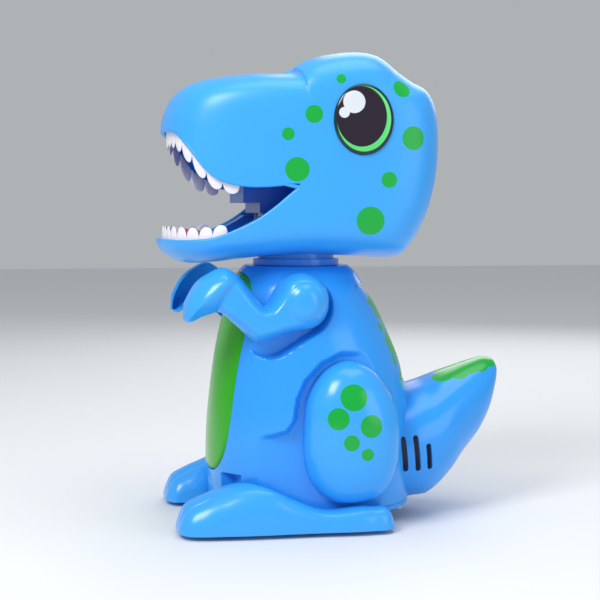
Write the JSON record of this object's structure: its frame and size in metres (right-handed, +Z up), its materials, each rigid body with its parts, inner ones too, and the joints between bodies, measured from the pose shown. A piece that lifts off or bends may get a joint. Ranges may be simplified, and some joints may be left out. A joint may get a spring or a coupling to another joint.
{
  "type": "bubble machine",
  "caption": "Battery-driven dinosaur bubble machine: hollow body, big open-mouthed head with a bubble wand wheel and fan, swinging arms, rolling bump-and-go base.",
  "frame": {"origin": "on the floor under the middle of the toy's box", "axes": "+Z up, the nose points along -Y, the toy's own left side is +X"},
  "size_m": [0.1188, 0.1748, 0.2296],
  "materials": {
    "body_blue": "moulded, glossy",
    "deep_blue": "moulded, satin",
    "belly_green": "moulded, glossy",
    "tooth_white": "moulded, glossy",
    "tongue_red": "moulded, satin",
    "eye_ink": "printed and lacquered",
    "grey_plastic": "moulded, matt",
    "white_plastic": "moulded, matt",
    "black_rubber": "moulded",
    "steel": "zinc plated",
    "board_green": "solder mask",
    "cell_sleeve": "printed sleeve"
  },
  "bodies": {
    "toy": {"head_left": "body_blue", "head_right": "body_blue", "torso_left": "body_blue", "torso_right": "body_blue", "base_plate": "body_blue", "leg_left": "body_blue", "leg_right": "body_blue", "foot_left": "body_blue", "foot_right": "body_blue", "neck_collar": "body_blue", "mouth_liner": "deep_blue", "solution_tray": "deep_blue", "belly_panel": "belly_green", "upper_teeth": "tooth_white", "lower_teeth": "tooth_white", "tongue": "tongue_red", "eye_left": "eye_ink", "eye_right": "eye_ink", "fan_housing": "grey_plastic", "battery_box": "grey_plastic", "speaker": "grey_plastic", "switch_body": "grey_plastic", "turret_retainer": "grey_plastic", "head_screw_1": "steel", "head_screw_2": "steel", "head_screw_3": "steel", "base_screw_1": "steel", "base_screw_2": "steel", "base_screw_3": "steel", "base_screw_4": "steel", "wand_motor": "steel", "fan_motor": "steel", "circuit_board": "board_green", "cell_1": "cell_sleeve", "cell_2": "cell_sleeve", "cell_3": "cell_sleeve"},
    "left_arm": {"arm_left": "body_blue"},
    "right_arm": {"arm_right": "body_blue"},
    "wand": {"wand_wheel": "white_plastic", "wand_gear": "white_plastic"},
    "wand_pinion": {"wand_pinion": "white_plastic"},
    "fan": {"fan_impeller": "white_plastic"},
    "turret": {"turret_cup": "grey_plastic", "turret_cap": "grey_plastic", "drive_motor": "steel"},
    "drive": {"drive_gear": "white_plastic", "drive_wheel_left": "white_plastic", "drive_wheel_right": "white_plastic", "drive_tyre_left": "black_rubber", "drive_tyre_right": "black_rubber"},
    "drive_pinion": {"drive_pinion": "white_plastic"},
    "rear_wheels": {"rear_axle": "steel", "rear_wheel_left": "grey_plastic", "rear_wheel_right": "grey_plastic"},
    "switch": {"switch_knob": "black_rubber"},
    "door": {"battery_door": "body_blue", "door_screw": "steel"}
  },
  "joints": [
    {"name": "arm_left_swing", "type": "hinge", "parent": "toy", "child": "left_arm", "pos_m": [0.0344, -0.022, 0.109], "axis": [1, 0, 0], "range_deg": [-8, 20]},
    {"name": "arm_right_swing", "type": "hinge", "parent": "toy", "child": "right_arm", "pos_m": [-0.0344, -0.022, 0.109], "axis": [1, 0, 0], "range_deg": [-8, 20]},
    {"name": "wand_spin", "type": "hinge", "parent": "toy", "child": "wand", "pos_m": [0, -0.034, 0.16], "axis": [0, 1, 0], "continuous": true},
    {"name": "wand_pinion_spin", "type": "hinge", "parent": "toy", "child": "wand_pinion", "pos_m": [0.00721, -0.0124, 0.15279], "axis": [0, 1, 0], "continuous": true},
    {"name": "fan_spin", "type": "hinge", "parent": "toy", "child": "fan", "pos_m": [0, -0.005, 0.1755], "axis": [0, 1, 0], "continuous": true},
    {"name": "turret_spin", "type": "hinge", "parent": "toy", "child": "turret", "pos_m": [0, -0.022, 0.0074], "axis": [0, 0, 1], "continuous": true},
    {"name": "drive_spin", "type": "hinge", "parent": "turret", "child": "drive", "pos_m": [0, -0.022, 0.0115], "axis": [1, 0, 0], "continuous": true},
    {"name": "drive_pinion_spin", "type": "hinge", "parent": "turret", "child": "drive_pinion", "pos_m": [0, -0.022, 0.0235], "axis": [1, 0, 0], "continuous": true},
    {"name": "rear_wheels_spin", "type": "hinge", "parent": "toy", "child": "rear_wheels", "pos_m": [0, 0.013, 0.0113], "axis": [1, 0, 0], "continuous": true},
    {"name": "switch_slide", "type": "slide", "parent": "toy", "child": "switch", "axis": [1, 0, 0], "range_m": [0, 0.005]},
    {"name": "door_lift", "type": "slide", "parent": "toy", "child": "door", "axis": [0, 0.9325, 0.3612], "range_m": [0, 0.03]}
  ],
  "couplings": [
    {"joint": "wand_pinion_spin", "follows": "wand_spin", "ratio": -2.4},
    {"joint": "drive_pinion_spin", "follows": "drive_spin", "ratio": -3}
  ]
}
